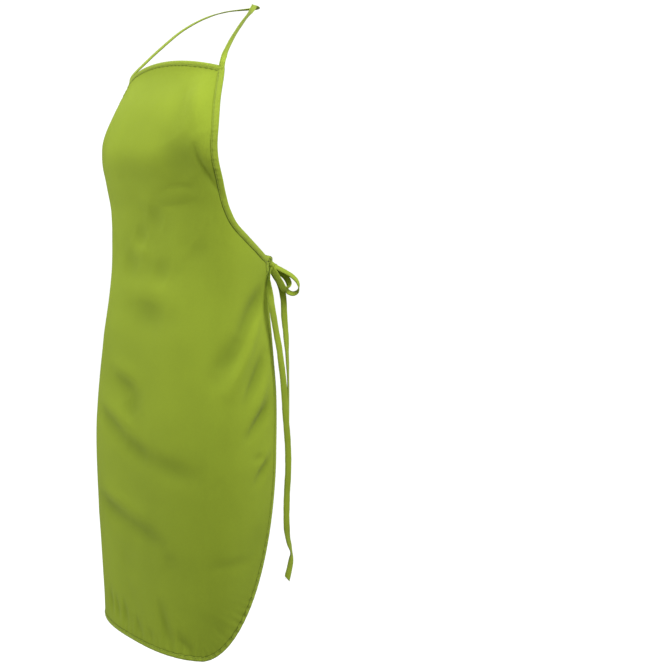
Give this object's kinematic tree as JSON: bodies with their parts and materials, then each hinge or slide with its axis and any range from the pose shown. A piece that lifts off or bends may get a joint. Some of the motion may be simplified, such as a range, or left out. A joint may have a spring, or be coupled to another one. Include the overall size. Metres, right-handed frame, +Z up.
{
  "type": "bib apron",
  "caption": "bib apron as worn, one bound cloth panel with a neck strap and waist ties knotted in a bow at the wearer's left side, ends hanging",
  "frame": {"origin": "the middle of the neck strap, where it passes over the nape", "axes": "+Z up, the long way of the apron; the front faces -Y; +X is the wearer's left, where the bow is"},
  "size_m": [0.3359, 0.237, 0.9372],
  "materials": {
    "cotton_cloth": "matt woven lime-green cotton",
    "cotton_tape": "matt folded binding tape of the same lime-green cotton"
  },
  "bodies": {
    "root": {"apron_panel": "cotton_cloth", "bib_top_binding": "cotton_tape", "armhole_binding_left": "cotton_tape", "armhole_binding_right": "cotton_tape", "skirt_binding": "cotton_tape", "neck_strap": "cotton_tape", "waist_tie": "cotton_tape", "bow_knot": "cotton_tape", "bow_loop_large": "cotton_tape", "bow_loop_small": "cotton_tape", "tie_tail_long": "cotton_tape", "tie_tail_short": "cotton_tape"}
  },
  "joints": []
}
